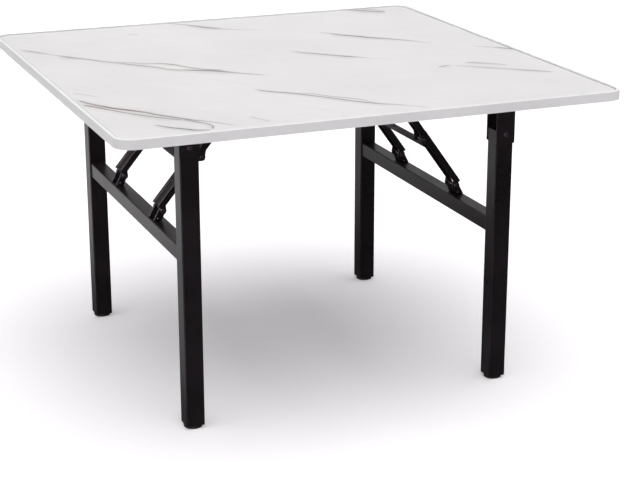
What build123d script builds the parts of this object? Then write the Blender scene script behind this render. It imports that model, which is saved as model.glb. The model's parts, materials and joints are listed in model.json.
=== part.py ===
from build123d import *
import math
import os

# Folding card table. Millimetres, +Z up, origin on the floor under the middle of the top.
# Left is -X, right is +X, front is -Y, rear is +Y. Each leg frame folds inward under the top.

# Table top
table_side = 1220.0
table_height = 762.0
corner_radius = 42.0
band_height = 22.0
band_width = 8.0
band_edge_round = 1.2
lip_height = 2.4
laminate_thickness = 0.8
panel_clearance = 0.1

# Leg frames, set in from the top's edges; the crossbars hang at their drop below the top's underside
leg_inset_x = 213.4
leg_inset_y = 208.9
leg_width = 45.0
leg_wall = 1.8
tube_corner_radius = 3.0
leg_top_above_bolt = 10.0
crossbar_width = 38.0
crossbar_wall = 1.6
crossbar_drop = {"left": 317.5, "right": 341.5}

# Feet
foot_radius = 22.0
foot_height = 8.0
foot_edge_round = 2.0
foot_plug_height = 22.0
foot_plug_clearance = 0.2

# Leg hinges: the right hinges lie lower, so the right frame folds flat below the left one
hinge_drop = {"left": 59.0, "right": 106.5}
bracket_plate = 3.0
ear_thickness = 2.5
ear_width = 48.4
ear_gap = 0.5
ear_below_bolt = 22.5
ear_corner_round = 3.0
bracket_wing = 30.0
wing_corner_round = 5.0
bolt_radius = 4.0
bolt_head_radius = 6.5
bolt_head_height = 4.0
bolt_end_length = 1.5
nut_flat_width = 13.0
nut_height = 6.5

# Wood screws
screw_radius = 2.0
screw_length = 13.0
screw_head_radius = 4.2
screw_head_height = 2.2
screw_edge_distance = 10.0

# Folding braces: lower arm from the clevis pivot to the knee, upper arm from the knee to the top
brace_leg_distance = 237.6
clevis_pivot_inset = 6.0
clevis_pivot_rise = 25.0
brace_pivot_inset = {"left": 214.5, "right": 201.8}
brace_pivot_drop = 25.0
lower_arm_length = 158.0
arm_wall = 2.5
flange_depth = 16.0
flange_offset = 1.0
web_recess = 4.0
lower_arm_width = 45.0
upper_arm_side_gap = 1.0
lower_flange_start = 2.5
lower_web_start = 4.0
lower_web_knee_distance = 62.0
lower_flange_end = 18.0
upper_flange_start = 8.0
upper_flange_stop = 8.0
ear_slope_length = 12.0
lower_ear_radius = 10.0
knee_ear_radius = 9.0
upper_ear_radius = 8.5
pivot_radius = 4.0
pivot_head_radius = 6.0
pivot_head_height = 2.2
pivot_clearance = 0.1
head_gap = 0.3
fixed_clearance = 0.05

# Tie bar between the two lower arms of a frame
tie_bar_knee_distance = 41.0
tie_bar_width = 20.0
tie_bar_height = 10.0
tie_bar_wall = 1.5
tie_bar_round = 1.0

# Clevises on the crossbars and brackets under the top for the braces
clevis_wall = 2.5
clevis_side_gap = 0.4
clevis_ear_radius = 9.0
clevis_web_rise = 17.0
clevis_foot_length = 19.6
clevis_rivet_rise = 5.0
clevis_rivet_offset = 3.4
clevis_rivet_radius = 2.5
clevis_rivet_head_radius = 4.0
clevis_rivet_head_height = 1.8
brace_bracket_length = 44.0
brace_bracket_wing = 18.0
brace_ear_side_gap = 0.4

# Share of a round head's height that its rim rounding takes, and of a screw's radius left at its tip
head_round_share = 0.6
screw_tip_share = 0.25

# Cuts run past the faces by this much
overrun = 5.0

# Derived sizes
underside_z = table_height - band_height
surface_z = table_height - lip_height
leg_centre_x = table_side / 2 - leg_inset_x
leg_centre_y = table_side / 2 - leg_inset_y
brace_centre_y = leg_centre_y - brace_leg_distance
panel_side = table_side - 2 * band_width - 2 * panel_clearance
panel_radius = corner_radius - band_width - panel_clearance
leg_half = leg_width / 2
crossbar_half = crossbar_width / 2
ear_inner_y = leg_half + ear_gap
ear_outer_y = ear_inner_y + ear_thickness
hinge_z = {side: underside_z - hinge_drop[side] for side in hinge_drop}
crossbar_centre_z = {side: underside_z - crossbar_drop[side] for side in crossbar_drop}
crossbar_top_z = {side: crossbar_centre_z[side] + crossbar_half for side in crossbar_centre_z}
clevis_pivot_z = {side: crossbar_top_z[side] + clevis_pivot_rise for side in crossbar_top_z}
brace_pivot_z = underside_z - brace_pivot_drop
upper_arm_width = lower_arm_width - 2 * arm_wall - 2 * upper_arm_side_gap
lower_web_end = lower_arm_length - lower_web_knee_distance
tie_bar_start = lower_arm_length - tie_bar_knee_distance
clevis_width = lower_arm_width - 2 * arm_wall - 2 * clevis_side_gap
web_middle = flange_offset + flange_depth - web_recess - arm_wall / 2
brace_bracket_inner = upper_arm_width + 2 * brace_ear_side_gap
rows = {"front": -1, "rear": 1}
sides = ("left", "right")


def brace_length(side):
    """Straight distance from the clevis pivot to the pivot under the top."""
    return math.hypot(brace_pivot_inset[side] - clevis_pivot_inset, brace_pivot_z - clevis_pivot_z[side])


def brace_angle(side):
    """Slope of the open brace above the horizontal, in degrees."""
    rise = brace_pivot_z - clevis_pivot_z[side]
    return math.degrees(math.atan2(rise, brace_pivot_inset[side] - clevis_pivot_inset))


def place(shape, side):
    """Put a shape drawn for a frame at X=0 that folds towards +X on its side of the table."""
    if side == "left":
        return Pos(-leg_centre_x, 0, 0) * shape
    return Pos(leg_centre_x, 0, 0) * mirror(shape, about=Plane.YZ)


def at_brace(shape, side, along, centre_y):
    """Place a shape drawn along +X, outer side up, on a brace at a distance from the clevis pivot."""
    base = Pos(clevis_pivot_inset, centre_y, clevis_pivot_z[side])
    return base * Rot(0, -brace_angle(side), 0) * Pos(along, 0, 0) * shape


def rounded_block(length, width, height, radius):
    """Upright block with rounded vertical edges, standing on Z=0."""
    return extrude(RectangleRounded(length, width, radius), height)


def upright_tube(width, wall, height):
    """Square tube along Z, standing on Z=0."""
    outer = rounded_block(width, width, height, tube_corner_radius)
    inner_width = width - 2 * wall
    inner = rounded_block(inner_width, inner_width, height + 2 * overrun, tube_corner_radius - wall / 2)
    return outer - Pos(0, 0, -overrun) * inner


def y_rod(radius, length):
    """Round rod along Y, centred on the origin."""
    return Rot(90, 0, 0) * Cylinder(radius, length)


def y_plate(sketch, y, thickness):
    """Extrude an XY sketch into a plate in the XZ plane, centred at y."""
    return Pos(0, y + thickness / 2, 0) * Rot(90, 0, 0) * extrude(sketch, thickness)


def dome_head(radius, height):
    """Low round head standing on Z=0, with a softened rim."""
    head = Pos(0, 0, height / 2) * Cylinder(radius, height)
    return fillet(head.edges().group_by(Axis.Z)[-1], height * head_round_share)


def through_rivet(shank_radius, grip, head_radius, head_height, gap):
    """Rivet along Y with a head on each side of the parts that it passes through."""
    reach = grip / 2 + gap
    head = dome_head(head_radius, head_height)
    far_head = Pos(0, reach, 0) * Rot(-90, 0, 0) * head
    near_head = Pos(0, -reach, 0) * Rot(90, 0, 0) * head
    return y_rod(shank_radius, 2 * reach) + far_head + near_head


# Table top pieces

def edge_band():
    outer = rounded_block(table_side, table_side, band_height, corner_radius)
    outer = fillet(outer.edges().group_by(Axis.Z)[-1], band_edge_round)
    inner_side = table_side - 2 * band_width
    inner = rounded_block(inner_side, inner_side, band_height + 2 * overrun, corner_radius - band_width)
    return Pos(0, 0, underside_z) * (outer - Pos(0, 0, -overrun) * inner)


def panel(bottom_z, thickness):
    return Pos(0, 0, bottom_z) * rounded_block(panel_side, panel_side, thickness, panel_radius)


def hinge_screw_places(side):
    """Centres of the wood screws of one frame's hinge brackets."""
    places = []
    sign = -1 if side == "left" else 1
    screw_x = ear_width / 2 - screw_edge_distance
    screw_y = ear_outer_y + bracket_wing - screw_edge_distance
    for row in rows.values():
        for x in (-screw_x, screw_x):
            for y in (-screw_y, screw_y):
                places.append((sign * leg_centre_x + x, row * leg_centre_y + y))
    return places


def brace_screw_places(side):
    """Centres of the wood screws of one frame's brace brackets."""
    places = []
    sign = -1 if side == "left" else 1
    centre_x = sign * (leg_centre_x - brace_pivot_inset[side])
    screw_x = brace_bracket_length / 2 - screw_edge_distance
    screw_y = brace_bracket_inner / 2 + arm_wall + brace_bracket_wing - screw_edge_distance
    for row in rows.values():
        for x in (-screw_x, screw_x):
            for y in (-screw_y, screw_y):
                places.append((centre_x + x, row * brace_centre_y + y))
    return places


def screw():
    """Wood screw pointing up, with its head's flat at Z=0."""
    shank = Pos(0, 0, screw_length / 2) * Cylinder(screw_radius, screw_length)
    tip_radius = screw_radius * screw_tip_share
    tip = Pos(0, 0, screw_length + screw_radius / 2) * Cone(screw_radius, tip_radius, screw_radius)
    head = Rot(180, 0, 0) * dome_head(screw_head_radius, screw_head_height)
    return shank + tip + head


def screw_group(places):
    head_z = underside_z - bracket_plate
    return Compound([Pos(x, y, head_z) * screw() for x, y in places])


def screw_holes(places, bottom_z, top_z):
    """Clear holes for the screws between two heights."""
    hole_radius = screw_radius + fixed_clearance
    height = top_z - bottom_z
    return [Pos(x, y, bottom_z + height / 2) * Cylinder(hole_radius, height) for x, y in places]


all_screws = []
for side in sides:
    all_screws += hinge_screw_places(side) + brace_screw_places(side)


def top_board():
    bottom_z = underside_z + laminate_thickness
    board = panel(bottom_z, surface_z - laminate_thickness - bottom_z)
    hole_top = underside_z - bracket_plate + screw_length + screw_radius + fixed_clearance
    return board - screw_holes(all_screws, bottom_z - overrun, hole_top)


def underside_laminate():
    sheet = panel(underside_z, laminate_thickness)
    return sheet - screw_holes(all_screws, underside_z - overrun, underside_z + overrun)


def hinge_bracket(side, row):
    """U bracket: a plate under the top with two ears that hold the leg's top."""
    centre_y = row * leg_centre_y
    plate_width = 2 * (ear_outer_y + bracket_wing)
    plate = rounded_block(ear_width, plate_width, bracket_plate, wing_corner_round)
    body = Pos(0, centre_y, underside_z - bracket_plate) * plate
    ear_bottom = hinge_z[side] - ear_below_bolt
    ear_height = underside_z - ear_bottom - bracket_plate / 2
    for ear_side in (-1, 1):
        ear_y = centre_y + ear_side * (ear_inner_y + ear_thickness / 2)
        ear = Pos(0, ear_y, ear_bottom + ear_height / 2) * Box(ear_width, ear_thickness, ear_height)
        low_edges = ear.edges().filter_by(Axis.Y).group_by(Axis.Z)[0]
        body += fillet(low_edges, ear_corner_round)
    hole = Pos(0, centre_y, hinge_z[side]) * y_rod(bolt_radius + fixed_clearance, plate_width)
    plate_bottom = underside_z - bracket_plate
    holes = screw_holes(hinge_screw_places(side), plate_bottom - overrun, underside_z + overrun)
    return place(body, side) - place(hole, side) - holes


def hinge_bolt(side, row):
    """Bolt through the ears and the leg, head on the outer side of the table."""
    grip = 2 * ear_outer_y
    shank_end = grip / 2 + nut_height + bolt_end_length
    shank_length = grip / 2 + shank_end
    shank = Pos(0, (shank_end - grip / 2) / 2, 0) * y_rod(bolt_radius, shank_length)
    head = Pos(0, -grip / 2, 0) * Rot(90, 0, 0) * dome_head(bolt_head_radius, bolt_head_height)
    turned = Rot(0, 0, 180 if row > 0 else 0) * (shank + head)
    return place(Pos(0, row * leg_centre_y, hinge_z[side]) * turned, side)


def hinge_nut(side, row):
    """Hexagon nut on the inner end of the hinge bolt."""
    nut_sketch = RegularPolygon(nut_flat_width / 2, 6, major_radius=False)
    nut_sketch -= Circle(bolt_radius + fixed_clearance)
    nut = y_plate(nut_sketch, ear_outer_y + nut_height / 2, nut_height)
    turned = Rot(0, 0, 180 if row > 0 else 0) * nut
    return place(Pos(0, row * leg_centre_y, hinge_z[side]) * turned, side)


def brace_bracket(side, row):
    """U bracket under the top for the upper pivot of a brace."""
    centre_y = row * brace_centre_y
    inset = brace_pivot_inset[side]
    ear_half = brace_bracket_inner / 2
    plate_width = 2 * (ear_half + arm_wall + brace_bracket_wing)
    plate = rounded_block(brace_bracket_length, plate_width, bracket_plate, wing_corner_round)
    body = Pos(inset, centre_y, underside_z - bracket_plate) * plate
    root = Pos(0, brace_pivot_drop - bracket_plate) * Rectangle(brace_bracket_length / 2, bracket_plate)
    outline = make_hull([Circle(upper_ear_radius).edge(), *root.edges()])
    for ear_side in (-1, 1):
        ear_y = centre_y + ear_side * (ear_half + arm_wall / 2)
        body += Pos(inset, ear_y, brace_pivot_z) * y_plate(outline, 0, arm_wall)
    hole = Pos(inset, centre_y, brace_pivot_z) * y_rod(pivot_radius + fixed_clearance, plate_width)
    plate_bottom = underside_z - bracket_plate
    holes = screw_holes(brace_screw_places(side), plate_bottom - overrun, underside_z + overrun)
    return place(body, side) - place(hole, side) - holes


def brace_pivot_rivet(side, row):
    grip = brace_bracket_inner + 2 * arm_wall
    rivet = through_rivet(pivot_radius, grip, pivot_head_radius, pivot_head_height, 0)
    centre = Pos(brace_pivot_inset[side], row * brace_centre_y, brace_pivot_z)
    return place(centre * rivet, side)


# Leg frame pieces

def leg(side, row):
    """Square tube from the foot to just above the hinge bolt."""
    height = hinge_z[side] + leg_top_above_bolt - foot_height
    tube = Pos(0, row * leg_centre_y, foot_height) * upright_tube(leg_width, leg_wall, height)
    hole_radius = bolt_radius + pivot_clearance
    hole = Pos(0, row * leg_centre_y, hinge_z[side]) * y_rod(hole_radius, leg_width + 2 * overrun)
    return place(tube - hole, side)


def foot(side, row):
    """Round foot with a square plug that sits in the tube's end."""
    pad = Pos(0, 0, foot_height / 2) * Cylinder(foot_radius, foot_height)
    pad = fillet(pad.edges().group_by(Axis.Z)[0], foot_edge_round)
    plug_side = leg_width - 2 * leg_wall - 2 * foot_plug_clearance
    plug = rounded_block(plug_side, plug_side, foot_plug_height, tube_corner_radius - leg_wall / 2)
    plug = Pos(0, 0, foot_height) * plug
    return place(Pos(0, row * leg_centre_y, 0) * (pad + plug), side)


def crossbar(side):
    """Square tube between the two legs of a frame."""
    length = 2 * (leg_centre_y - leg_half)
    tube = Pos(0, 0, -length / 2) * upright_tube(crossbar_width, crossbar_wall, length)
    return place(Pos(0, 0, crossbar_centre_z[side]) * Rot(90, 0, 0) * tube, side)


def clevis(side, row):
    """U bracket welded on the crossbar: two cheeks that lean inwards and a web on their inner side."""
    base_z = -clevis_pivot_rise
    outer_x = -clevis_pivot_inset - crossbar_half + tube_corner_radius
    foot = Pos(outer_x + clevis_foot_length / 2, base_z + clevis_wall / 2) * Rectangle(
        clevis_foot_length, clevis_wall)
    cheek = make_hull([*foot.edges(), Circle(clevis_ear_radius).edge()])
    inner_strip = cheek - Pos(-clevis_wall, 0) * cheek
    reach = clevis_ear_radius - outer_x
    web = inner_strip & Pos(0, base_z + clevis_web_rise / 2) * Rectangle(2 * reach, clevis_web_rise)
    body = y_plate(web, 0, clevis_width)
    for cheek_side in (-1, 1):
        body += y_plate(cheek, cheek_side * (clevis_width - clevis_wall) / 2, clevis_wall)
    hole_length = clevis_width + 2 * overrun
    body -= y_rod(pivot_radius + fixed_clearance, hole_length)
    rivet_place = Pos(-clevis_pivot_inset - clevis_rivet_offset, 0, base_z + clevis_rivet_rise)
    body -= rivet_place * y_rod(clevis_rivet_radius + fixed_clearance, hole_length)
    centre = Pos(clevis_pivot_inset, row * brace_centre_y, clevis_pivot_z[side])
    return place(centre * body, side)


def clevis_rivet(side, row):
    """Lower rivet through the clevis's cheeks, over the outer half of the crossbar."""
    rivet = through_rivet(
        clevis_rivet_radius, clevis_width, clevis_rivet_head_radius, clevis_rivet_head_height, 0)
    centre = Pos(-clevis_rivet_offset, row * brace_centre_y, crossbar_top_z[side] + clevis_rivet_rise)
    return place(centre * rivet, side)


def clevis_pivot_rivet(side, row):
    rivet = through_rivet(
        pivot_radius, lower_arm_width, pivot_head_radius, pivot_head_height, head_gap)
    centre = Pos(clevis_pivot_inset, row * brace_centre_y, clevis_pivot_z[side])
    return place(centre * rivet, side)


# Brace pieces, drawn along +X with the outer side at +Z

def arm_channel(width, start, end, web_start, web_end):
    """Two flanges joined by a web that lies a little below their outer rims."""
    web = Pos((web_start + web_end) / 2, 0, web_middle) * Box(web_end - web_start, width, arm_wall)
    channel = web
    for flange_side in (-1, 1):
        flange_y = flange_side * (width - arm_wall) / 2
        flange = Box(end - start, arm_wall, flange_depth)
        channel += Pos((start + end) / 2, flange_y, flange_offset + flange_depth / 2) * flange
    return channel


def arm_ear(radius, centre, low, high):
    """Outline of a round pivot ear that slopes into the inner edge of the channel's flange."""
    edge_strip = Pos((low + high) / 2, flange_offset + arm_wall / 2) * Rectangle(high - low, arm_wall)
    return make_hull([(Pos(centre, 0) * Circle(radius)).edge(), *edge_strip.edges()])


def lower_arm(side, row):
    """Outer channel from the clevis to the knee; its web ends short of the knee."""
    knee = lower_arm_length
    flange_end = knee + lower_flange_end
    body = arm_channel(lower_arm_width, lower_flange_start, flange_end, lower_web_start, lower_web_end)
    ears = (
        arm_ear(lower_ear_radius, 0, lower_flange_start, lower_flange_start + ear_slope_length),
        arm_ear(knee_ear_radius, knee, knee - ear_slope_length, knee + ear_slope_length))
    for cheek_side in (-1, 1):
        cheek_y = cheek_side * (lower_arm_width - arm_wall) / 2
        for outline in ears:
            body += y_plate(outline, cheek_y, arm_wall)
    hole_length = lower_arm_width + 2 * overrun
    body -= y_rod(pivot_radius + pivot_clearance, hole_length)
    body -= Pos(knee, 0, 0) * y_rod(pivot_radius + fixed_clearance, hole_length)
    return place(at_brace(body, side, 0, row * brace_centre_y), side)


def upper_arm(side, row):
    """Inner channel from the knee to the bracket under the top."""
    length = brace_length(side) - lower_arm_length
    start = upper_flange_start
    end = length - upper_flange_stop
    body = arm_channel(upper_arm_width, start, end, start, end)
    ears = (
        arm_ear(upper_ear_radius, 0, start, start + ear_slope_length),
        arm_ear(upper_ear_radius, length, end - ear_slope_length, end))
    for cheek_side in (-1, 1):
        cheek_y = cheek_side * (upper_arm_width - arm_wall) / 2
        for outline in ears:
            body += y_plate(outline, cheek_y, arm_wall)
    hole_length = upper_arm_width + 2 * overrun
    body -= y_rod(pivot_radius + fixed_clearance, hole_length)
    body -= Pos(length, 0, 0) * y_rod(pivot_radius + pivot_clearance, hole_length)
    return place(at_brace(body, side, lower_arm_length, row * brace_centre_y), side)


def knee_rivet_heads(side, row):
    """Rivet heads on the outside of the lower arm's knee ears, each with its stub in the ear."""
    solids = []
    for head_side in (-1, 1):
        stub = Pos(0, 0, -arm_wall / 2) * Cylinder(pivot_radius, arm_wall)
        rivet = stub + dome_head(pivot_head_radius, pivot_head_height)
        turned = Pos(0, head_side * lower_arm_width / 2, 0) * Rot(-90 * head_side, 0, 0) * rivet
        solids.append(place(at_brace(turned, side, lower_arm_length, row * brace_centre_y), side))
    return solids


def knee_pin(side, row):
    """Pin fixed in the upper arm's knee ears, just clear of the lower arm's flanges."""
    pin = y_rod(pivot_radius, lower_arm_width - 2 * arm_wall - 2 * clevis_side_gap)
    return place(at_brace(pin, side, lower_arm_length, row * brace_centre_y), side)


def tie_bar(side):
    """Flat tube welded between the inboard flanges of a frame's two lower arms."""
    length = 2 * brace_centre_y - lower_arm_width
    section = RectangleRounded(tie_bar_width, tie_bar_height, tie_bar_round)
    section -= Rectangle(tie_bar_width - 2 * tie_bar_wall, tie_bar_height - 2 * tie_bar_wall)
    bar = y_plate(section, 0, length)
    middle = Pos(tie_bar_width / 2, 0, flange_offset + tie_bar_height / 2)
    return place(at_brace(middle * bar, side, tie_bar_start, 0), side)


os.makedirs("parts", exist_ok=True)
nodes = {
    "edge_band": edge_band(),
    "top_board": top_board(),
    "top_laminate": panel(surface_z - laminate_thickness, laminate_thickness),
    "underside_laminate": underside_laminate(),
}
for side in sides:
    nodes[side + "_crossbar"] = crossbar(side)
    nodes[side + "_tie_bar"] = tie_bar(side)
    nodes[side + "_hinge_bracket_screws"] = screw_group(hinge_screw_places(side))
    nodes[side + "_brace_bracket_screws"] = screw_group(brace_screw_places(side))
    groups = {
        "hinge_bolts": hinge_bolt,
        "hinge_nuts": hinge_nut,
        "brace_pivot_rivets": brace_pivot_rivet,
        "clevis_rivets": clevis_rivet,
        "clevis_pivot_rivets": clevis_pivot_rivet,
        "knee_pins": knee_pin,
    }
    for name, make in groups.items():
        nodes[side + "_" + name] = Compound([make(side, row) for row in rows.values()])
    heads = [head for row in rows.values() for head in knee_rivet_heads(side, row)]
    nodes[side + "_knee_rivets"] = Compound(heads)
    singles = {
        "leg": leg,
        "foot": foot,
        "hinge_bracket": hinge_bracket,
        "brace_bracket": brace_bracket,
        "clevis": clevis,
        "lower_arm": lower_arm,
        "upper_arm": upper_arm,
    }
    for name, make in singles.items():
        for row_name, row in rows.items():
            nodes[side + "_" + row_name + "_" + name] = make(side, row)

for name, shape in nodes.items():
    export_step(shape, "parts/" + name + ".step")
print(len(nodes), "nodes")
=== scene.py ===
import json
import math

import bpy
from mathutils import Euler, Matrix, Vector


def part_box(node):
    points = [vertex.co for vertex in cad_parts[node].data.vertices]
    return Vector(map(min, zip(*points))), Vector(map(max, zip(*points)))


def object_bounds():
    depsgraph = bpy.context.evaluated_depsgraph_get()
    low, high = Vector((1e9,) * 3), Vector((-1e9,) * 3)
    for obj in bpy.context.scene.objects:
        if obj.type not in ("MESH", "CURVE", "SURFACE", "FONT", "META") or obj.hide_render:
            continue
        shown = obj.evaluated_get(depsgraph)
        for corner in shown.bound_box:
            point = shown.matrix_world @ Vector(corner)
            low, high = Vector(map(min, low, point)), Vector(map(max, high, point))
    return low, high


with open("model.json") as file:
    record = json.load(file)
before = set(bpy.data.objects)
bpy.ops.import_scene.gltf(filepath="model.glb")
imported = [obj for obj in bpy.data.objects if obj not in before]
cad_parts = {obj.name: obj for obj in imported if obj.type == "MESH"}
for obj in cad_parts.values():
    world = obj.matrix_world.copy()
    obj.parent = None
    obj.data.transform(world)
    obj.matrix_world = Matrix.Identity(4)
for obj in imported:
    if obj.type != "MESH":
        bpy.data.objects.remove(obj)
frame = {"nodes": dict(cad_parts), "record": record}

# Folding card table. Metres, +Z up, floor at Z=0, origin under the middle of the top.
cad_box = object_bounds()
nodes = frame["nodes"]
scene = bpy.context.scene

# Camera: it looks along +Y, turned by its heading towards +X and tipped down by its pitch, both in degrees
CAMERA_PLACE = (-1.490, -3.839, 1.638)
CAMERA_HEADING = 22.39
CAMERA_PITCH = 18.15
FOCAL_PIXELS = 1668.0
FRAME_WIDTH = 640.0
SENSOR_WIDTH = 36.0
CAMERA_REACH = 200.0

# Light: a faint even sky and one broad sun from above.
# The camera sees a white sky and a floor that is lifted a little.
SKY_LEVEL = 0.14
SEEN_SKY = 1.0
SKY_COLOUR = (1, 1, 1, 1)
SUN_LEVEL = 3.05
SUN_SPREAD = 72.0
SUN_TILT = (7.0, 0.0, 0.0)
FLOOR_COLOUR = (0.90, 0.872, 0.898, 1)
FLOOR_LIFT = 0.24
FLOOR_SIDE = 60.0

# Only glossy rays see what follows, in place of the white sky and the pale floor.
# The floor is dim and brightens to the left and the rear. Each card is the stretch of X or Y where it does.
DIM_FLOOR = 0.08
SIDE_CARD = (-0.42, -0.66)
SIDE_CARD_LEVEL = 0.42
REAR_CARD = (0.60, 1.40)
REAR_CARD_LEVEL = 0.32

# Their sky brightens from the front to the rear, more so on the right.
# Each fade is the stretch of the ray's direction in X or Y over which it does.
DIM_SKY = 0.10
RIGHT_SKY = 0.42
LEFT_SKY = 0.22
SIDE_FADE = (0.25, -0.35)
REAR_FADE = (-0.3, 0.5)

# They also see one soft lamp above the front left: its direction, and the cosines of its two edges
LAMP_WAY = (-0.60, -0.45, 0.66)
LAMP_EDGE = (0.76, 0.90)
LAMP_LEVEL = 16.0

# Noise settings are scale for each metre, detail and roughness. Noise mostly stays in its middle range.
NOISE_MIDDLE = (0.3, 0.7)


def new_material(name):
    """Empty node material with its output node."""
    material = bpy.data.materials.new(name)
    material.use_nodes = True
    material.node_tree.nodes.clear()
    output = material.node_tree.nodes.new("ShaderNodeOutputMaterial")
    return material, material.node_tree, output


def add(tree, kind, inputs=None, **settings):
    """Add a node, set its properties, and feed its inputs with values or other nodes' sockets."""
    node = tree.nodes.new(kind)
    for key, value in settings.items():
        setattr(node, key, value)
    for key, value in (inputs or {}).items():
        if isinstance(value, bpy.types.NodeSocket):
            tree.links.new(value, node.inputs[key])
        else:
            node.inputs[key].default_value = value
    return node


def maths(tree, operation, a, b=None, clamp=False):
    """Value of a math node."""
    inputs = {0: a}
    if b is not None:
        inputs[1] = b
    return add(tree, "ShaderNodeMath", inputs, operation=operation, use_clamp=clamp).outputs[0]


def ramp(tree, value, low, high, out_low=0.0, out_high=1.0, smooth=True):
    """Value mapped from one range to another, with soft ends if smooth."""
    kind = "SMOOTHSTEP" if smooth else "LINEAR"
    inputs = {"Value": value, "From Min": low, "From Max": high, "To Min": out_low, "To Max": out_high}
    return add(tree, "ShaderNodeMapRange", inputs, interpolation_type=kind).outputs["Result"]


def vector_maths(tree, operation, a, b=None, output="Vector"):
    """Vector or value of a vector math node."""
    inputs = {0: a}
    if b is not None:
        inputs[1] = b
    return add(tree, "ShaderNodeVectorMath", inputs, operation=operation).outputs[output]


def noise(tree, vector, settings, output="Fac"):
    """Noise with the given scale, detail and roughness."""
    scale, detail, roughness = settings
    inputs = {"Vector": vector, "Scale": scale, "Detail": detail, "Roughness": roughness}
    return add(tree, "ShaderNodeTexNoise", inputs).outputs[output]


def roughness_from(tree, value, low, high):
    """Roughness that follows a noise value between two ends."""
    return ramp(tree, value, *NOISE_MIDDLE, low, high, smooth=False)


def mix_colour(tree, factor, a, b):
    """Colour mixed from two by a factor."""
    node = tree.nodes.new("ShaderNodeMix")
    node.data_type = "RGBA"
    slots = {"Factor": 0, "A": 6, "B": 7}
    for key, value in (("Factor", factor), ("A", a), ("B", b)):
        socket = node.inputs[slots[key]]
        if isinstance(value, bpy.types.NodeSocket):
            tree.links.new(value, socket)
        else:
            socket.default_value = value
    return node.outputs[2]


def bump(tree, height, strength, distance, normal=None):
    """Normal bent by a height, on top of another normal if one is given."""
    inputs = {"Height": height, "Strength": strength, "Distance": distance}
    if normal is not None:
        inputs["Normal"] = normal
    return add(tree, "ShaderNodeBump", inputs).outputs["Normal"]


def finish_material(tree, output, inputs):
    """Close a material with its shader."""
    shader = add(tree, "ShaderNodeBsdfPrincipled", inputs)
    tree.links.new(shader.outputs[0], output.inputs["Surface"])


def place_vector(tree):
    """The object's own coordinates, which are the table's, in metres."""
    return add(tree, "ShaderNodeTexCoord").outputs["Object"]


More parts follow.
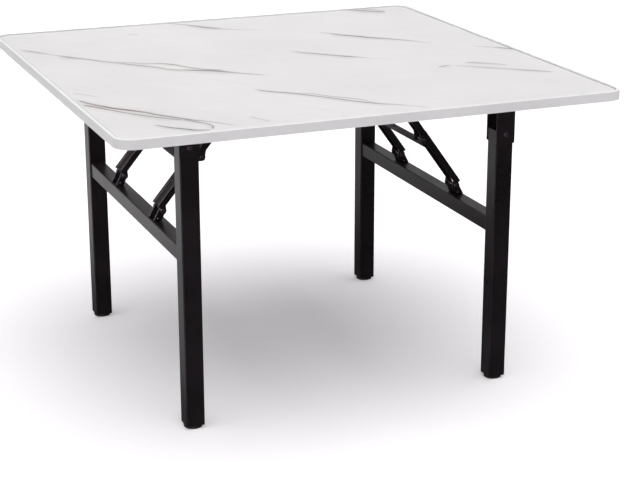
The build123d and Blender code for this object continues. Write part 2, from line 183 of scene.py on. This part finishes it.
# Marble veins, as traced. A point is x, y and half width in millimetres, then a strength from 0 to 1.
VEINS = [
    ((-125, 605, 1.5, 0.5), (-85, 565, 2.5, 0.6), (-50, 515, 4.5, 0.9), (-30, 490, 4.5, 0.9),
     (0, 460, 2.0, 0.6), (45, 435, 1.5, 0.4), (90, 410, 1.0, 0.2)),
    ((415, 610, 3.0, 0.8), (445, 590, 5.0, 0.9), (475, 560, 6.0, 1.0), (515, 530, 5.0, 0.7)),
    ((440, 610, 1.5, 0.5), (470, 600, 2.0, 0.6), (500, 575, 2.5, 0.6), (520, 545, 2.0, 0.4)),
    ((-585, 395, 2.0, 0.6), (-550, 345, 3.0, 0.7), (-520, 300, 1.5, 0.5), (-490, 255, 4.0, 0.9),
     (-455, 215, 2.5, 0.8), (-420, 170, 2.5, 0.8), (-385, 130, 2.5, 0.8), (-350, 90, 3.0, 0.8),
     (-320, 55, 3.0, 0.8), (-295, 20, 3.0, 0.9), (-260, 0, 4.0, 0.9), (-225, -20, 5.0, 0.9),
     (-185, -50, 4.5, 1.0), (-155, -80, 2.5, 0.8), (-120, -110, 2.0, 0.6), (-90, -135, 1.0, 0.3)),
    ((-405, 160, 1.5, 0.4), (-365, 135, 2.0, 0.6), (-335, 110, 2.5, 0.7), (-305, 100, 2.5, 0.7),
     (-275, 75, 3.0, 0.8), (-255, 40, 2.5, 0.8), (-235, 10, 3.0, 0.8), (-180, -40, 3.0, 0.8)),
    ((215, 330, 1.0, 0.3), (235, 305, 2.0, 0.5), (260, 265, 4.0, 0.8), (290, 235, 4.5, 0.9),
     (320, 200, 4.5, 0.9), (350, 175, 4.0, 0.9), (380, 145, 3.0, 0.8), (410, 110, 2.0, 0.6),
     (445, 65, 1.0, 0.3)),
    ((60, 115, 1.5, 0.5), (80, 85, 3.0, 0.7), (110, 55, 3.5, 0.8), (140, 25, 3.5, 0.8),
     (165, 0, 4.0, 0.9), (190, -20, 2.0, 0.6), (225, -50, 1.0, 0.3), (270, -75, 1.0, 0.2)),
    ((525, -5, 1.5, 0.3), (555, -30, 2.5, 0.5), (590, -65, 3.5, 0.8), (605, -85, 3.0, 0.7)),
    ((325, -205, 2.0, 0.5), (340, -200, 3.0, 0.6), (360, -195, 1.5, 0.4)),
    ((365, -200, 1.0, 0.3), (395, -220, 2.0, 0.5), (430, -250, 3.0, 0.6), (465, -280, 2.5, 0.6),
     (505, -315, 3.0, 0.8), (530, -335, 3.0, 0.8), (560, -360, 1.5, 0.5)),
    ((410, -180, 2.0, 0.4), (435, -195, 4.0, 0.6), (465, -220, 4.0, 0.5), (495, -245, 2.0, 0.4)),
    ((-180, -260, 1.5, 0.5), (-155, -295, 2.5, 0.8), (-120, -325, 2.5, 0.8), (-60, -395, 2.5, 0.8),
     (0, -470, 2.5, 0.8), (30, -500, 2.5, 0.8), (65, -525, 2.0, 0.6), (120, -575, 1.0, 0.4)),
    ((-110, -330, 1.0, 0.4), (-75, -350, 2.0, 0.6), (-50, -385, 2.0, 0.6), (5, -445, 2.0, 0.6),
     (20, -480, 2.0, 0.5), (35, -500, 1.5, 0.5)),
    ((-590, -210, 2.0, 0.7), (-570, -260, 4.0, 0.9), (-540, -310, 4.0, 0.9), (-510, -345, 5.0, 1.0),
     (-485, -375, 4.5, 0.9), (-460, -415, 4.0, 0.9), (-410, -480, 3.0, 0.8), (-385, -505, 2.0, 0.6),
     (-330, -570, 1.0, 0.4)),
    ((-590, -260, 3.0, 0.8), (-565, -300, 3.0, 0.8), (-510, -385, 2.5, 0.8), (-455, -450, 3.0, 0.8),
     (-425, -480, 2.5, 0.7)),
    ((-495, -495, 1.5, 0.5), (-475, -525, 2.5, 0.8), (-445, -555, 3.0, 0.8), (-420, -575, 3.0, 0.8),
     (-395, -580, 2.0, 0.7)),
    ((-425, -475, 2.5, 0.7), (-400, -510, 2.5, 0.7), (-385, -540, 2.0, 0.7), (-390, -575, 2.0, 0.6)),
    ((-270, 495, 2.0, 0.3), (-245, 470, 2.0, 0.3)),
    ((-280, -505, 2.0, 0.3), (-255, -560, 2.0, 0.3)),
    ((-580, -140, 1.5, 0.3), (-540, -190, 1.5, 0.3)),
]
# The traced veins looked too thin and too weak when rendered, so all are widened and strengthened alike.
VEIN_WIDENING = 1.7
VEIN_STRENGTHENING = 1.2
# In metres: how far a vein may bow from a straight run, its greatest half width, and how far noise moves it
VEIN_REACH = 0.06
VEIN_WIDEST = 0.016
VEIN_WANDER = 0.006
MILLIMETRE = 0.001

# Shares of a vein's length over which it fades in and out, and the height at which its curve has no bow
VEIN_START = (-0.03, 0.05)
VEIN_END = (1.03, 0.95)
CURVE_MIDDLE = 0.5

# Across a vein, in half widths: the edges of its dark core, then its wash's reach and shift to one side.
# VEIN_WASH is the wash's strength.
VEIN_CORE = (1.15, 0.2)
VEIN_WASH_REACH = 5.0
VEIN_WASH_SHIFT = 1.0
VEIN_WASH = 0.20

# Colours of the stone and its veins
STONE_LOW = (0.720, 0.706, 0.709, 1)
STONE_HIGH = (0.766, 0.752, 0.755, 1)
STONE_GRAIN = (0.676, 0.657, 0.659, 1)
VEIN_GREY = (0.095, 0.085, 0.088, 1)
VEIN_BROWN = (0.170, 0.115, 0.105, 1)

# Painted shade: a darker line where the print meets the raised moulding and the lip shades it, which turns
# round the print's corners
FIELD_RADIUS = 0.034
SEAM_WIDTH = 0.0045
SEAM_SHARE = 0.75
SEAM_SHADE_COLOUR = (0.22, 0.21, 0.215, 1)

# The stone's streaks slant across the table and also vary the veins
GRAIN_TURN = -0.85
STREAK_STRETCH = (1.0, 9.0, 1.0)
STREAK_NOISE = (7.0, 6.0, 0.62)
STREAK_RANGE = (0.30, 0.72)
STREAK_SHARE = 0.20
VEIN_UNEVENNESS = (0.30, 0.70, 0.75, 1.10)
WANDER_NOISE = (26.0, 3.0, 0.6)
CLOUD_NOISE = (2.6, 4.0, 0.55)
CLOUD_RANGE = (0.32, 0.68)
WARM_NOISE = (5.0, 2.0, 0.5)
WARM_RANGE = (0.42, 0.62)

# The laminate's surface
MARBLE_ROUGHNESS = (0.40, 0.46)
MARBLE_SPECULAR = 0.35
MARBLE_GRAIN = (900.0, 2.0, 0.5)
MARBLE_BUMP = (0.05, 0.0002)


def curve(tree, value, points):
    """Value read from a smooth curve through points, both axes from 0 to 1."""
    node = add(tree, "ShaderNodeFloatCurve", {"Value": value})
    shape = node.mapping.curves[0]
    shape.points[0].location = points[0]
    shape.points[1].location = points[-1]
    for point in points[1:-1]:
        shape.points.new(*point)
    node.mapping.update()
    return node.outputs[0]


def vein_mask(tree, place, vein):
    """Mask of one vein: a dark core and a broad faint wash along a smooth line through its points."""
    points = [Vector((x * MILLIMETRE, y * MILLIMETRE, 0)) for x, y, width, strength in vein]
    run = points[-1] - points[0]
    along_axis = run.normalized()
    across_axis = Vector((-along_axis.y, along_axis.x, 0))
    shares = [(p - points[0]).dot(along_axis) / run.length for p in points]
    offsets = [CURVE_MIDDLE + (p - points[0]).dot(across_axis) / VEIN_REACH / 2 for p in points]
    widths = [width * VEIN_WIDENING * MILLIMETRE / VEIN_WIDEST for x, y, width, strength in vein]
    strengths = [min(strength * VEIN_STRENGTHENING, 1.0) for x, y, width, strength in vein]
    from_start = vector_maths(tree, "SUBTRACT", place, points[0])
    along = vector_maths(tree, "DOT_PRODUCT", from_start, along_axis, "Value")
    across = vector_maths(tree, "DOT_PRODUCT", from_start, across_axis, "Value")
    share = maths(tree, "DIVIDE", along, run.length)
    line = maths(tree, "SUBTRACT", curve(tree, share, list(zip(shares, offsets))), CURVE_MIDDLE)
    line = maths(tree, "MULTIPLY", line, 2 * VEIN_REACH)
    width = maths(tree, "MULTIPLY", curve(tree, share, list(zip(shares, widths))), VEIN_WIDEST)
    strength = curve(tree, share, list(zip(shares, strengths)))
    inside = maths(tree, "MULTIPLY", ramp(tree, share, *VEIN_START), ramp(tree, share, *VEIN_END))
    reach = maths(tree, "DIVIDE", maths(tree, "SUBTRACT", across, line), width)
    core = ramp(tree, maths(tree, "ABSOLUTE", reach), *VEIN_CORE)
    wash_reach = maths(tree, "ABSOLUTE", maths(tree, "ADD", reach, VEIN_WASH_SHIFT))
    wash = maths(tree, "MULTIPLY", ramp(tree, wash_reach, VEIN_WASH_REACH, 0.0), VEIN_WASH)
    shade = maths(tree, "MULTIPLY", maths(tree, "MAXIMUM", core, wash), strength)
    return maths(tree, "MULTIPLY", shade, inside)


def painted_seam_shade(tree, place):
    """Painted shade line in the corner between the print and the raised moulding, round the corners too."""
    half_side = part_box("top_laminate")[1][0]
    straight = half_side - FIELD_RADIUS
    quarter = vector_maths(tree, "ABSOLUTE", vector_maths(tree, "MULTIPLY", place, (1, 1, 0)))
    over = vector_maths(tree, "SUBTRACT", quarter, (straight, straight, 0))
    over = vector_maths(tree, "MAXIMUM", over, (0, 0, 0))
    reach = vector_maths(tree, "LENGTH", over, output="Value")
    return ramp(tree, reach, FIELD_RADIUS - SEAM_WIDTH, FIELD_RADIUS - SEAM_WIDTH / 2, 0.0, SEAM_SHARE)


def marble_material():
    """Satin laminate with a pale stone print: soft clouds, fine slanting grain and placed veins."""
    material, tree, output = new_material("marble_laminate")
    place = place_vector(tree)
    slant = {"Vector": place, "Rotation": (0, 0, GRAIN_TURN)}
    turned = add(tree, "ShaderNodeMapping", slant, vector_type="TEXTURE").outputs[0]
    stretched = add(tree, "ShaderNodeMapping", {"Vector": turned, "Scale": STREAK_STRETCH}).outputs[0]

    wander = noise(tree, place, WANDER_NOISE, "Color")
    centred = vector_maths(tree, "SUBTRACT", wander, (0.5, 0.5, 0.5))
    shift = {0: centred, "Scale": VEIN_WANDER}
    moved = add(tree, "ShaderNodeVectorMath", shift, operation="SCALE").outputs["Vector"]
    warped = vector_maths(tree, "ADD", place, moved)
    mask = vein_mask(tree, warped, VEINS[0])
    for vein in VEINS[1:]:
        mask = maths(tree, "MAXIMUM", mask, vein_mask(tree, warped, vein))

    streaks = noise(tree, stretched, STREAK_NOISE)
    uneven = ramp(tree, streaks, *VEIN_UNEVENNESS)
    mask = maths(tree, "MULTIPLY", mask, uneven, clamp=True)

    clouds = noise(tree, place, CLOUD_NOISE)
    stone = mix_colour(tree, ramp(tree, clouds, *CLOUD_RANGE), STONE_LOW, STONE_HIGH)
    grain = ramp(tree, streaks, *STREAK_RANGE)
    stone = mix_colour(tree, maths(tree, "MULTIPLY", grain, STREAK_SHARE), stone, STONE_GRAIN)
    warm = ramp(tree, noise(tree, place, WARM_NOISE), *WARM_RANGE)
    vein_tint = mix_colour(tree, warm, VEIN_GREY, VEIN_BROWN)
    colour = mix_colour(tree, mask, stone, vein_tint)
    # Painted shade: the print is darkened in a thin line along its edge, next to the raised moulding
    colour = mix_colour(tree, painted_seam_shade(tree, place), colour, SEAM_SHADE_COLOUR)

    inputs = {
        "Base Color": colour,
        "Roughness": roughness_from(tree, streaks, *MARBLE_ROUGHNESS),
        "Specular IOR Level": MARBLE_SPECULAR,
        "Normal": bump(tree, noise(tree, place, MARBLE_GRAIN), *MARBLE_BUMP),
    }
    finish_material(tree, output, inputs)
    return material


# Moulded plastic: settings that all kinds share
PLASTIC_DRIFT = (6.0, 4.0, 0.6)
PLASTIC_GRAIN_DETAIL = 3.0
PLASTIC_GRAIN_ROUGHNESS = 0.6
PLASTIC_GRAIN_DEPTH = 0.0003
PLASTIC_SMOOTHER = 0.03
PLASTIC_ROUGHER = 0.04
PLASTIC_SPECULAR = 0.4
FOOT_SPECULAR = 0.3


def plastic_material(name, low, high, roughness, grain_scale, grain_strength, specular=PLASTIC_SPECULAR):
    """Moulded plastic: slight tone drift and a fine grain."""
    material, tree, output = new_material(name)
    place = place_vector(tree)
    drift = noise(tree, place, PLASTIC_DRIFT)
    grain = noise(tree, place, (grain_scale, PLASTIC_GRAIN_DETAIL, PLASTIC_GRAIN_ROUGHNESS))
    smoother = roughness - PLASTIC_SMOOTHER
    rougher = roughness + PLASTIC_ROUGHER
    inputs = {
        "Base Color": mix_colour(tree, ramp(tree, drift, *NOISE_MIDDLE), (*low, 1), (*high, 1)),
        "Roughness": roughness_from(tree, grain, smoother, rougher),
        "Specular IOR Level": specular,
        "Normal": bump(tree, grain, grain_strength, PLASTIC_GRAIN_DEPTH),
    }
    finish_material(tree, output, inputs)
    return material


# Powder coat: the base level's shares for red, green and blue, in clean and in dusty places
COAT_CLEAN_SHARES = (1.15, 0.78, 1.02)
COAT_DUSTY_SHARES = (2.1, 1.50, 1.90)
COAT_DUST = (0.35, 0.75)
COAT_DRIFT = (7.0, 5.0, 0.65)
COAT_PEEL = (650.0, 3.0, 0.55)
COAT_BUMP = (0.12, 0.0004)
COAT_SMOOTHER = 0.04
COAT_ROUGHER = 0.05
STEEL_TINT = (1.0, 0.90, 0.97, 1)

# Radius of the coat's softened edges, in metres
EDGE_SOFTNESS = 0.0024
EDGE_SAMPLES = 6


def powder_coat_material(name, base, roughness, specular):
    """Black powder coat: fine orange peel, faint dust-grey drift and softened edges that catch light."""
    material, tree, output = new_material(name)
    place = place_vector(tree)
    drift = noise(tree, place, COAT_DRIFT)
    clean = (*(base * share for share in COAT_CLEAN_SHARES), 1)
    dusty = (*(base * share for share in COAT_DUSTY_SHARES), 1)
    edges = add(tree, "ShaderNodeBevel", {"Radius": EDGE_SOFTNESS}, samples=EDGE_SAMPLES)
    inputs = {
        "Base Color": mix_colour(tree, ramp(tree, drift, *COAT_DUST), clean, dusty),
        "Roughness": roughness_from(tree, drift, roughness - COAT_SMOOTHER, roughness + COAT_ROUGHER),
        "Specular IOR Level": specular,
        "Specular Tint": STEEL_TINT,
        "Normal": bump(tree, noise(tree, place, COAT_PEEL), *COAT_BUMP, edges.outputs["Normal"]),
    }
    finish_material(tree, output, inputs)
    return material


# Raw fibreboard
FIBRE_NOISE = (260.0, 8.0, 0.7)
FIBRE_RANGE = (0.35, 0.65)
FIBRE_DARK = (0.42, 0.31, 0.20, 1)
FIBRE_PALE = (0.62, 0.48, 0.33, 1)
FIBRE_BUMP = (0.3, 0.0005)
BOARD_ROUGHNESS = 0.85


def board_material():
    """Raw fibreboard: fine pale and dark fibres."""
    material, tree, output = new_material("board")
    place = place_vector(tree)
    fibres = noise(tree, place, FIBRE_NOISE)
    inputs = {
        "Base Color": mix_colour(tree, ramp(tree, fibres, *FIBRE_RANGE), FIBRE_DARK, FIBRE_PALE),
        "Roughness": BOARD_ROUGHNESS,
        "Normal": bump(tree, fibres, *FIBRE_BUMP),
    }
    finish_material(tree, output, inputs)
    return material


def floor_material():
    """Pale floor that keeps its shadow: the camera sees it slightly lifted, glossy rays see it dim."""
    material, tree, output = new_material("studio_floor")
    shade = add(tree, "ShaderNodeBsdfDiffuse", {"Color": FLOOR_COLOUR})
    path = add(tree, "ShaderNodeLightPath").outputs
    seen = maths(tree, "MAXIMUM", path["Is Camera Ray"], path["Is Glossy Ray"])
    seen = maths(tree, "MAXIMUM", seen, path["Is Transmission Ray"])
    lift = add(tree, "ShaderNodeEmission", {"Strength": maths(tree, "MULTIPLY", seen, FLOOR_LIFT)})
    plain = add(tree, "ShaderNodeAddShader", {0: shade.outputs[0], 1: lift.outputs[0]})
    here = add(tree, "ShaderNodeSeparateXYZ", {0: place_vector(tree)}).outputs
    side_card = ramp(tree, here["X"], *SIDE_CARD, DIM_FLOOR, DIM_FLOOR + SIDE_CARD_LEVEL)
    rear_card = ramp(tree, here["Y"], *REAR_CARD, 0.0, REAR_CARD_LEVEL)
    mirrored = add(tree, "ShaderNodeEmission", {"Strength": maths(tree, "ADD", side_card, rear_card)})
    choice = {0: path["Is Glossy Ray"], 1: plain.outputs[0], 2: mirrored.outputs[0]}
    total = add(tree, "ShaderNodeMixShader", choice)
    tree.links.new(total.outputs[0], output.inputs["Surface"])
    return material


def camera():
    """Camera at the photograph's viewing angle."""
    data = bpy.data.cameras.new("camera")
    data.sensor_width = SENSOR_WIDTH
    data.lens = FOCAL_PIXELS / FRAME_WIDTH * SENSOR_WIDTH
    data.clip_end = CAMERA_REACH
    obj = bpy.data.objects.new("camera", data)
    obj.location = CAMERA_PLACE
    obj.rotation_euler = Euler((math.radians(90 - CAMERA_PITCH), 0, -math.radians(CAMERA_HEADING)))
    scene.collection.objects.link(obj)
    scene.camera = obj


def floor():
    """Square floor under the table's feet."""
    half = FLOOR_SIDE / 2
    corners = [(-half, -half, 0), (half, -half, 0), (half, half, 0), (-half, half, 0)]
    mesh = bpy.data.meshes.new("floor")
    mesh.from_pydata(corners, [], [(0, 1, 2, 3)])
    obj = bpy.data.objects.new("floor", mesh)
    obj.location.z = cad_box[0].z
    obj.data.materials.append(floor_material())
    scene.collection.objects.link(obj)


def lights():
    """World with its separate levels for camera, glossy and other rays, and the sun."""
    world = bpy.data.worlds.new("studio")
    scene.world = world
    world.use_nodes = True
    tree = world.node_tree
    tree.nodes.clear()
    path = add(tree, "ShaderNodeLightPath").outputs
    way = add(tree, "ShaderNodeTexCoord").outputs["Generated"]
    direction = add(tree, "ShaderNodeSeparateXYZ", {0: way}).outputs
    rear_sky = ramp(tree, direction["X"], *SIDE_FADE, RIGHT_SKY, LEFT_SKY)
    mirrored = ramp(tree, direction["Y"], *REAR_FADE, DIM_SKY, rear_sky)
    lamp = vector_maths(tree, "DOT_PRODUCT", way, LAMP_WAY, "Value")
    mirrored = maths(tree, "ADD", mirrored, ramp(tree, lamp, *LAMP_EDGE, 0.0, LAMP_LEVEL))
    level = ramp(tree, path["Is Glossy Ray"], 0.0, 1.0, SKY_LEVEL, mirrored, smooth=False)
    level = ramp(tree, path["Is Camera Ray"], 0.0, 1.0, level, SEEN_SKY, smooth=False)
    sky = add(tree, "ShaderNodeBackground", {"Color": SKY_COLOUR, "Strength": level})
    output = tree.nodes.new("ShaderNodeOutputWorld")
    tree.links.new(sky.outputs[0], output.inputs["Surface"])
    sun = bpy.data.lights.new("sun", "SUN")
    sun.energy = SUN_LEVEL
    sun.angle = math.radians(SUN_SPREAD)
    obj = bpy.data.objects.new("sun", sun)
    obj.rotation_euler = Euler([math.radians(a) for a in SUN_TILT])
    scene.collection.objects.link(obj)


camera()
floor()
lights()
scene.view_settings.view_transform = "Standard"

# Plastics: two ends of the colour, roughness, grain's scale and strength.
# Powder coats: base level, roughness and specular.
MOULDING = ((0.800, 0.795, 0.800), (0.840, 0.835, 0.838), 0.42, 380.0, 0.06)
BACKING = ((0.66, 0.66, 0.66), (0.70, 0.70, 0.70), 0.6, 300.0, 0.1)
FOOT_PLASTIC = ((0.010, 0.010, 0.010), (0.014, 0.014, 0.014), 0.5, 500.0, 0.12)
STEEL_COAT = (0.0062, 0.30, 0.40)
FASTENER_COAT = (0.020, 0.22, 0.60)

finishes = {
    "marble_laminate": marble_material(),
    "edge_moulding": plastic_material("edge_moulding", *MOULDING),
    "backing": plastic_material("backing_laminate", *BACKING),
    "board": board_material(),
    "black_steel": powder_coat_material("black_powder_coat", *STEEL_COAT),
    "black_fasteners": powder_coat_material("black_fastener", *FASTENER_COAT),
    "black_plastic": plastic_material("black_foot_plastic", *FOOT_PLASTIC, FOOT_SPECULAR),
}
for part in frame["record"]["subparts"]:
    mesh = nodes[part["node"]].data
    mesh.materials.clear()
    mesh.materials.append(finishes[part["material_slot"]])
